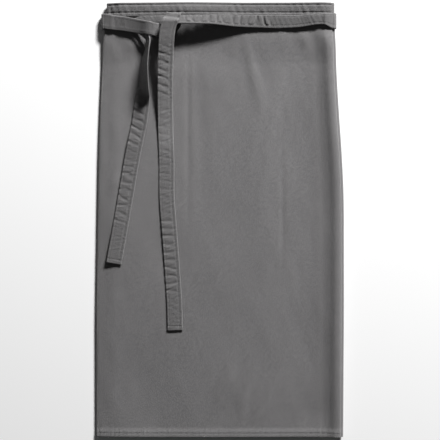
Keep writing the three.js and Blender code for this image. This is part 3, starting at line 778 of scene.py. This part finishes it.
class Wiring:
    """Short names for adding and joining shader nodes."""

    def __init__(self, tree):
        self.tree = tree

    def add(self, kind, **settings):
        node = self.tree.nodes.new(kind)
        for name, value in settings.items():
            setattr(node, name, value)
        return node

    def join(self, source, target):
        self.tree.links.new(source, target)

    def math(self, operation, a, b=None, clamp=False):
        node = self.add("ShaderNodeMath", operation=operation, use_clamp=clamp)
        for place, value in enumerate((a, b)):
            if value is None:
                continue
            if isinstance(value, (int, float)):
                node.inputs[place].default_value = value
            else:
                self.join(value, node.inputs[place])
        return node.outputs[0]

    def mix(self, share, a, b):
        """A colour between two: a colour mix takes its share at socket 0 and its colours at 6 and 7."""
        node = self.add("ShaderNodeMix", data_type="RGBA")
        for place, value in ((0, share), (6, a), (7, b)):
            if isinstance(value, (int, float, tuple)):
                node.inputs[place].default_value = value
            else:
                self.join(value, node.inputs[place])
        return node.outputs[2]

    def noise(self, vector, scale, detail=3.0, rough=0.55):
        node = self.add("ShaderNodeTexNoise")
        self.join(vector, node.inputs["Vector"])
        node.inputs["Scale"].default_value = scale
        node.inputs["Detail"].default_value = detail
        node.inputs["Roughness"].default_value = rough
        return node.outputs["Fac"]


# The twill: how its ribs slant and wander, how its weft crosses them, and how high both stand
RIB_SLANT, RIB_WANDER = 0.7, 1.4
WEFT_SLANT, WEFT_PACE = 0.3, 1.9
RIB_HEIGHT, WEFT_HEIGHT, MIDDLE_OF_CLOTH = 0.36, 0.14, 0.5


def twill_group():
    """Diagonal cotton twill: a height for the bump and a mask of single threads."""
    group = bpy.data.node_groups.new("cotton_twill", "ShaderNodeTree")
    socket(group, "Along", "NodeSocketVector")
    socket(group, "Ribs per metre", "NodeSocketFloat", value=1400.0)
    socket(group, "Height", "NodeSocketFloat", "OUTPUT")
    socket(group, "Thread", "NodeSocketFloat", "OUTPUT")
    wire = Wiring(group)
    inputs, outputs = wire.add("NodeGroupInput"), wire.add("NodeGroupOutput")
    split = wire.add("ShaderNodeSeparateXYZ")
    wire.join(inputs.outputs["Along"], split.inputs[0])
    pace = wire.math("MULTIPLY", inputs.outputs["Ribs per metre"], 2 * math.pi)
    wander = wire.math("MULTIPLY", wire.noise(inputs.outputs["Along"], scale=900.0, detail=2.0), RIB_WANDER)
    u = wire.math("MULTIPLY", split.outputs[0], pace)
    v = wire.math("MULTIPLY", split.outputs[1], pace)
    slanted = wire.math("ADD", wire.math("MULTIPLY", u, RIB_SLANT), v)
    rib = wire.math("SINE", wire.math("ADD", slanted, wander))
    crossing = wire.math("SUBTRACT", v, wire.math("MULTIPLY", u, WEFT_SLANT))
    weft = wire.math("SINE", wire.math("MULTIPLY", crossing, WEFT_PACE))
    ribs, wefts = wire.math("MULTIPLY", rib, RIB_HEIGHT), wire.math("MULTIPLY", weft, WEFT_HEIGHT)
    height = wire.math("ADD", wire.math("ADD", ribs, wefts), MIDDLE_OF_CLOTH)
    wire.join(height, outputs.inputs["Height"])
    threads = wire.noise(inputs.outputs["Along"], scale=2600.0, detail=2.0, rough=0.7)
    wire.join(threads, outputs.inputs["Thread"])
    return group


# How much patches, streaks, single threads, painted shade, and rubbing with painted light change the dye,
# and its shade without them
PATCHY, STREAKY, THREADED, PAINTED_SHADE_STRENGTH, RUBBING_AND_PAINTED_LIGHT = 0.16, 0.08, 0.5, 0.5, 0.75
PLAIN_SHADE = 0.63
ROUGH, ROUGHER_IN_STREAKS = 0.8, 0.14


def ageing_group():
    """Dyed cotton: uneven patches, single threads, rubbing and painted light where the input is above 0, and
    painted shade where it is below 0.
    """
    group = bpy.data.node_groups.new("dyed_cotton", "ShaderNodeTree")
    socket(group, "Along", "NodeSocketVector")
    socket(group, "Dye", "NodeSocketColor", value=(0.15, 0.15, 0.15, 1))
    socket(group, "Rubbed_and_painted_light_colour", "NodeSocketColor", value=(0.3, 0.3, 0.3, 1))
    socket(group, "Wear_plus_painted_light_and_shade", "NodeSocketFloat", value=0.0)
    socket(group, "Thread", "NodeSocketFloat", value=0.5)
    socket(group, "Color", "NodeSocketColor", "OUTPUT")
    socket(group, "Roughness", "NodeSocketFloat", "OUTPUT")
    wire = Wiring(group)
    inputs, outputs = wire.add("NodeGroupInput"), wire.add("NodeGroupOutput")
    patches = wire.noise(inputs.outputs["Along"], scale=9.0, detail=4.0)
    streaks = wire.noise(inputs.outputs["Along"], scale=60.0, detail=3.0)
    shade = wire.math("ADD", wire.math("MULTIPLY", patches, PATCHY), wire.math("MULTIPLY", streaks, STREAKY))
    shade = wire.math("ADD", shade, wire.math("MULTIPLY", inputs.outputs["Thread"], THREADED))
    shade = wire.math("ADD", shade, PLAIN_SHADE)
    # Painted shade: where the input is below 0 the dye is darkened
    painted_shade = wire.math("MAXIMUM", wire.math("MULTIPLY", inputs.outputs["Wear_plus_painted_light_and_shade"], -1.0), 0.0)
    shade = wire.math("SUBTRACT", shade, wire.math("MULTIPLY", painted_shade, PAINTED_SHADE_STRENGTH))
    scaled = wire.add("ShaderNodeVectorMath", operation="SCALE")
    wire.join(inputs.outputs["Dye"], scaled.inputs[0])
    wire.join(shade, scaled.inputs["Scale"])
    grain = wire.noise(inputs.outputs["Along"], scale=240.0, detail=3.0, rough=0.7)
    # Rubbing and painted light: where the input is above 0 the dye moves towards the lighter colour
    rub_and_painted_light_share = wire.math("MULTIPLY", inputs.outputs["Wear_plus_painted_light_and_shade"], wire.math("MULTIPLY", grain, RUBBING_AND_PAINTED_LIGHT), clamp=True)
    wire.join(wire.mix(rub_and_painted_light_share, scaled.outputs[0], inputs.outputs["Rubbed_and_painted_light_colour"]), outputs.inputs["Color"])
    rough = wire.math("ADD", wire.math("MULTIPLY", streaks, ROUGHER_IN_STREAKS), ROUGH)
    wire.join(rough, outputs.inputs["Roughness"])
    return group


TWILL, AGEING = twill_group(), ageing_group()
RIBS_PER_METRE = 1300.0
TWILL_DEPTH = 0.25 * MM
# Lighter colours that rubbing and painted light move the dye towards
SKIRT_DYE, SKIRT_RUBBED_AND_PAINTED_LIGHT = (0.16, 0.1555, 0.157), (0.27, 0.265, 0.266)
BAND_DYE, TIE_DYE, NARROW_RUBBED_AND_PAINTED_LIGHT = (0.128, 0.1245, 0.1255), (0.127, 0.1235, 0.1245), (0.25, 0.245, 0.246)
DARK_THREAD, LIGHT_THREAD = (0.12, 0.117, 0.115, 1), (0.27, 0.265, 0.26, 1)


def cotton(name, dye, rubbed_and_painted_light, bump):
    """A cotton cloth finish that follows the piece's own UV map."""
    material = bpy.data.materials.new(name)
    material.use_nodes = True
    wire = Wiring(material.node_tree)
    shader = material.node_tree.nodes["Principled BSDF"]
    shader.inputs["Sheen Weight"].default_value = 0.25
    shader.inputs["Sheen Roughness"].default_value = 0.5
    shader.inputs["Specular IOR Level"].default_value = 0.25
    place = wire.add("ShaderNodeUVMap", uv_map="cloth")
    wear_with_painted_light_and_shade = wire.add("ShaderNodeAttribute", attribute_name="wear_with_painted_light_and_shade")
    weave = wire.add("ShaderNodeGroup", node_tree=TWILL)
    weave.inputs["Ribs per metre"].default_value = RIBS_PER_METRE
    wire.join(place.outputs["UV"], weave.inputs["Along"])
    dyed = wire.add("ShaderNodeGroup", node_tree=AGEING)
    dyed.inputs["Dye"].default_value = (*dye, 1)
    dyed.inputs["Rubbed_and_painted_light_colour"].default_value = (*rubbed_and_painted_light, 1)
    wire.join(place.outputs["UV"], dyed.inputs["Along"])
    wire.join(wear_with_painted_light_and_shade.outputs["Fac"], dyed.inputs["Wear_plus_painted_light_and_shade"])
    wire.join(weave.outputs["Thread"], dyed.inputs["Thread"])
    wire.join(dyed.outputs["Color"], shader.inputs["Base Color"])
    wire.join(dyed.outputs["Roughness"], shader.inputs["Roughness"])
    relief = wire.add("ShaderNodeBump")
    relief.inputs["Strength"].default_value = bump
    relief.inputs["Distance"].default_value = TWILL_DEPTH
    wire.join(weave.outputs["Height"], relief.inputs["Height"])
    wire.join(relief.outputs["Normal"], shader.inputs["Normal"])
    return material


def thread_finish():
    """Sewing thread: a little lighter and smoother than the cloth, twisted along its length."""
    material = bpy.data.materials.new("thread")
    material.use_nodes = True
    wire = Wiring(material.node_tree)
    shader = material.node_tree.nodes["Principled BSDF"]
    shader.inputs["Sheen Weight"].default_value = 0.15
    place = wire.add("ShaderNodeTexCoord")
    ply = wire.add("ShaderNodeTexWave", wave_type="BANDS", bands_direction="DIAGONAL")
    ply.inputs["Scale"].default_value = 1200.0
    wire.join(place.outputs["Object"], ply.inputs["Vector"])
    shade = wire.noise(place.outputs["Object"], scale=300.0)
    wire.join(wire.mix(shade, DARK_THREAD, LIGHT_THREAD), shader.inputs["Base Color"])
    rough = wire.math("ADD", wire.math("MULTIPLY", ply.outputs["Fac"], 0.2), 0.5)
    wire.join(rough, shader.inputs["Roughness"])
    relief = wire.add("ShaderNodeBump")
    relief.inputs["Distance"].default_value = 0.1 * MM
    wire.join(ply.outputs["Fac"], relief.inputs["Height"])
    wire.join(relief.outputs["Normal"], shader.inputs["Normal"])
    return material


# Stitches
def stitch_tree():
    """Geometry Nodes: short threads set at an even pitch along curves."""
    tree = bpy.data.node_groups.new("row_of_stitches", "GeometryNodeTree")
    face = tree.interface
    face.new_socket(name="Geometry", in_out="INPUT", socket_type="NodeSocketGeometry")
    for name, value in (("Pitch", STITCH_PITCH), ("Length", STITCH_LENGTH), ("Thread", THREAD)):
        face.new_socket(name=name, in_out="INPUT", socket_type="NodeSocketFloat").default_value = value
    face.new_socket(name="Finish", in_out="INPUT", socket_type="NodeSocketMaterial")
    face.new_socket(name="Geometry", in_out="OUTPUT", socket_type="NodeSocketGeometry")
    wire = Wiring(tree)
    inputs, outputs = wire.add("NodeGroupInput"), wire.add("NodeGroupOutput")
    spread = wire.add("GeometryNodeCurveToPoints", mode="LENGTH")
    wire.join(inputs.outputs["Geometry"], spread.inputs["Curve"])
    wire.join(inputs.outputs["Pitch"], spread.inputs["Length"])
    bead = wire.add("GeometryNodeMeshUVSphere")
    bead.inputs["Segments"].default_value = 6
    bead.inputs["Rings"].default_value = 5
    bead.inputs["Radius"].default_value = 0.5
    size = wire.add("ShaderNodeCombineXYZ")
    wire.join(inputs.outputs["Thread"], size.inputs[0])
    wire.join(inputs.outputs["Thread"], size.inputs[1])
    wire.join(inputs.outputs["Length"], size.inputs[2])
    put = wire.add("GeometryNodeInstanceOnPoints")
    wire.join(spread.outputs["Points"], put.inputs["Points"])
    wire.join(bead.outputs["Mesh"], put.inputs["Instance"])
    wire.join(spread.outputs["Rotation"], put.inputs["Rotation"])
    wire.join(size.outputs[0], put.inputs["Scale"])
    real = wire.add("GeometryNodeRealizeInstances")
    wire.join(put.outputs["Instances"], real.inputs["Geometry"])
    finish = wire.add("GeometryNodeSetMaterial")
    wire.join(real.outputs["Geometry"], finish.inputs["Geometry"])
    wire.join(inputs.outputs["Finish"], finish.inputs["Material"])
    smooth = wire.add("GeometryNodeSetShadeSmooth")
    wire.join(finish.outputs["Geometry"], smooth.inputs["Geometry"])
    wire.join(smooth.outputs["Geometry"], outputs.inputs["Geometry"])
    return tree


STITCHES = stitch_tree()


def stitches(name, paths, finish, pitch=STITCH_PITCH):
    """A plain mesh of all the stitches along the given paths."""
    curve = bpy.data.curves.new(name + "_path", "CURVE")
    curve.dimensions = "3D"
    for path in paths:
        spline = curve.splines.new("POLY")
        spline.points.add(len(path) - 1)
        flat = np.concatenate([path, np.ones((len(path), 1))], axis=1)
        spline.points.foreach_set("co", flat.ravel())
    guide = bpy.data.objects.new(name + "_path", curve)
    bpy.context.scene.collection.objects.link(guide)
    modifier = guide.modifiers.new("stitches", "NODES")
    modifier.node_group = STITCHES
    names = {item.name: item.identifier for item in STITCHES.interface.items_tree if item.in_out == "INPUT"}
    modifier[names["Pitch"]] = pitch
    modifier[names["Length"]] = STITCH_LENGTH * pitch / STITCH_PITCH
    modifier[names["Thread"]] = THREAD
    modifier[names["Finish"]] = finish
    guide.update_tag()
    graph = bpy.context.evaluated_depsgraph_get()
    mesh = bpy.data.meshes.new_from_object(guide.evaluated_get(graph), depsgraph=graph)
    mesh.name = name
    guide.modifiers.clear()
    bpy.data.objects.remove(guide)
    bpy.data.curves.remove(curve)
    piece = bpy.data.objects.new(name, mesh)
    bpy.context.scene.collection.objects.link(piece)
    return piece


# How far a row of stitches sinks into the skirt and the band, and stands over a tie
SKIRT_SINK, BAND_SINK, TIE_STAND = 0.05 * MM, 0.02 * MM, 0.02 * MM
# The faces are worked out over two rows a hair apart, with almost no rounding, to find one row of stitches
HAIR, SHARP_RIM = 0.001 * MM, 0.01 * MM
FLAP_SEAM_ROWS = 160
HEM_MARGIN, TOP_MARGIN = 3 * MM, 2 * MM
BAND_PITCH = STITCH_PITCH * 0.9
# The steps and columns of a tie that its rows of stitches leave free at its start, end and sides
START_STEPS, END_STEPS, SIDE_COLUMNS = 6, 14, 2


def cloth_path(height, thick, finer, sink):
    """A row of points at one height, sunk a little into the cloth's outer face."""
    outer, inner, uvs = cloth_faces(np.array([height - HAIR, height]), [thick] * 2, finer, SHARP_RIM)
    return (outer - unit(outer - inner) * sink)[1, 1:-1]


def skirt_seams(finish):
    paths = [cloth_path(-TOP + HEM_SEAM, HEM_THICK, skirt_wrinkles, SKIRT_SINK)]
    heights = np.linspace(-TOP + HEM_MARGIN, SKIRT_TOP - TOP_MARGIN, FLAP_SEAM_ROWS)
    for which in (LEFT, RIGHT):
        x = which * (np.abs(flap_edge(which, heights)) + FLAP_SEAM)
        paths.append(np.stack([x, heights, lift(heights) + SKIRT_SINK], axis=1))
    return stitches("skirt_stitches", paths, finish)


def band_seams(finish):
    paths = [cloth_path(TOP - seam, BAND_THICK, band_puckers, BAND_SINK) for seam in BAND_SEAMS]
    return stitches("waistband_stitches", paths, finish, BAND_PITCH)


def tie_seams(name, laid, finish):
    face, normal, run = laid["face"], laid["normal"], laid["run"]
    rows = slice(START_STEPS, -END_STEPS)
    paths = []
    for place in TIE_SEAMS:
        column = int(np.abs(laid["share"] - place).argmin())
        paths.append(face[rows, column] + normal[rows] * TIE_STAND)
    end = int(np.abs(run - (run[-1] - END_SEAM)).argmin())
    paths.append(face[end, SIDE_COLUMNS:-SIDE_COLUMNS] + normal[end] * TIE_STAND)
    return stitches(name, paths, finish)


# The floor, the light and the camera: the camera looks straight down and sees FRAME_WIDTH across
FRAME_WIDTH = 811 * MM
LENS, SENSOR = 85.0, 36.0
EYE_HEIGHT = FRAME_WIDTH * LENS / SENSOR
MIDDLE_HEIGHT = 10 * MM
SIGHT = 20.0
FLOOR_REACH, FLOOR_DROP = 6.0, 0.2 * MM
FLOOR_PAINT = (0.96, 0.96, 0.96, 1)
WORLD_LIGHT = 0.05
# The key light: its heading and height in degrees, its distance and size in metres, its power in watts
KEY_HEADING, KEY_HEIGHT = 24.0, 20.0
KEY_DISTANCE, KEY_SIZE = 5.0, (1.3, 0.55)
KEY_POWER = 705.0


def studio():
    scene = bpy.context.scene
    mesh = bpy.data.meshes.new("floor")
    ways = ((-1, -1), (1, -1), (1, 1), (-1, 1))
    corners = [(x * FLOOR_REACH, y * FLOOR_REACH, -FLOOR_DROP) for x, y in ways]
    mesh.from_pydata(corners, [], [(0, 1, 2, 3)])
    floor = bpy.data.objects.new("floor", mesh)
    scene.collection.objects.link(floor)
    paint = bpy.data.materials.new("pale_floor")
    paint.use_nodes = True
    shader = paint.node_tree.nodes["Principled BSDF"]
    shader.inputs["Base Color"].default_value = FLOOR_PAINT
    shader.inputs["Roughness"].default_value = 0.9
    shader.inputs["Specular IOR Level"].default_value = 0.1
    mesh.materials.append(paint)

    world = bpy.data.worlds.new("studio")
    world.use_nodes = True
    world.node_tree.nodes["Background"].inputs["Color"].default_value = (1, 1, 1, 1)
    world.node_tree.nodes["Background"].inputs["Strength"].default_value = WORLD_LIGHT
    scene.world = world

    lamp = bpy.data.lights.new("key", "AREA")
    lamp.shape = "RECTANGLE"
    lamp.size, lamp.size_y = KEY_SIZE
    lamp.energy = KEY_POWER
    key = bpy.data.objects.new("key", lamp)
    heading, height = math.radians(KEY_HEADING), math.radians(KEY_HEIGHT)
    over_floor = KEY_DISTANCE * math.cos(height)
    key.location = (
        over_floor * math.sin(heading),
        over_floor * math.cos(heading),
        KEY_DISTANCE * math.sin(height),
    )
    key.rotation_euler = (math.pi / 2 - height, 0, math.pi - heading)
    scene.collection.objects.link(key)

    eye = bpy.data.cameras.new("camera")
    eye.lens, eye.sensor_width = LENS, SENSOR
    eye.clip_end = SIGHT
    camera = bpy.data.objects.new("camera", eye)
    camera.location = (0, 0, EYE_HEIGHT + MIDDLE_HEIGHT)
    scene.collection.objects.link(camera)
    scene.camera = camera
    scene.view_settings.view_transform = "Standard"


LEFT_SEED, RIGHT_SEED = 41, 61


def build():
    skirt_finish = cotton("skirt_twill", SKIRT_DYE, SKIRT_RUBBED_AND_PAINTED_LIGHT, bump=0.5)
    band_finish = cotton("band_twill", BAND_DYE, NARROW_RUBBED_AND_PAINTED_LIGHT, bump=0.55)
    tie_finish = cotton("tie_twill", TIE_DYE, NARROW_RUBBED_AND_PAINTED_LIGHT, bump=0.55)
    finish = thread_finish()
    studio()

    cloth = skirt(skirt_finish)
    band = waistband(band_finish)
    left, left_laid = tie("left_tie_cloth", LEFT_STATIONS, LEFT_MARKS, LEFT_SEED, tie_finish)
    right, right_laid = tie("right_tie_cloth", RIGHT_STATIONS, RIGHT_MARKS, RIGHT_SEED, tie_finish)
    cloth_seams, waist_seams = skirt_seams(finish), band_seams(finish)
    left_seams = tie_seams("left_tie_stitches", left_laid, finish)
    right_seams = tie_seams("right_tie_stitches", right_laid, finish)

    for piece, node, seams, slot in (
        (cloth, "skirt", cloth_seams, "skirt_cloth"),
        (band, "waistband", waist_seams, "band_cloth"),
        (left, "left_tie", left_seams, "tie_cloth"),
        (right, "right_tie", right_seams, "tie_cloth"),
    ):
        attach(piece, "root")
        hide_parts(node)
        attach(seams, "root")


build()
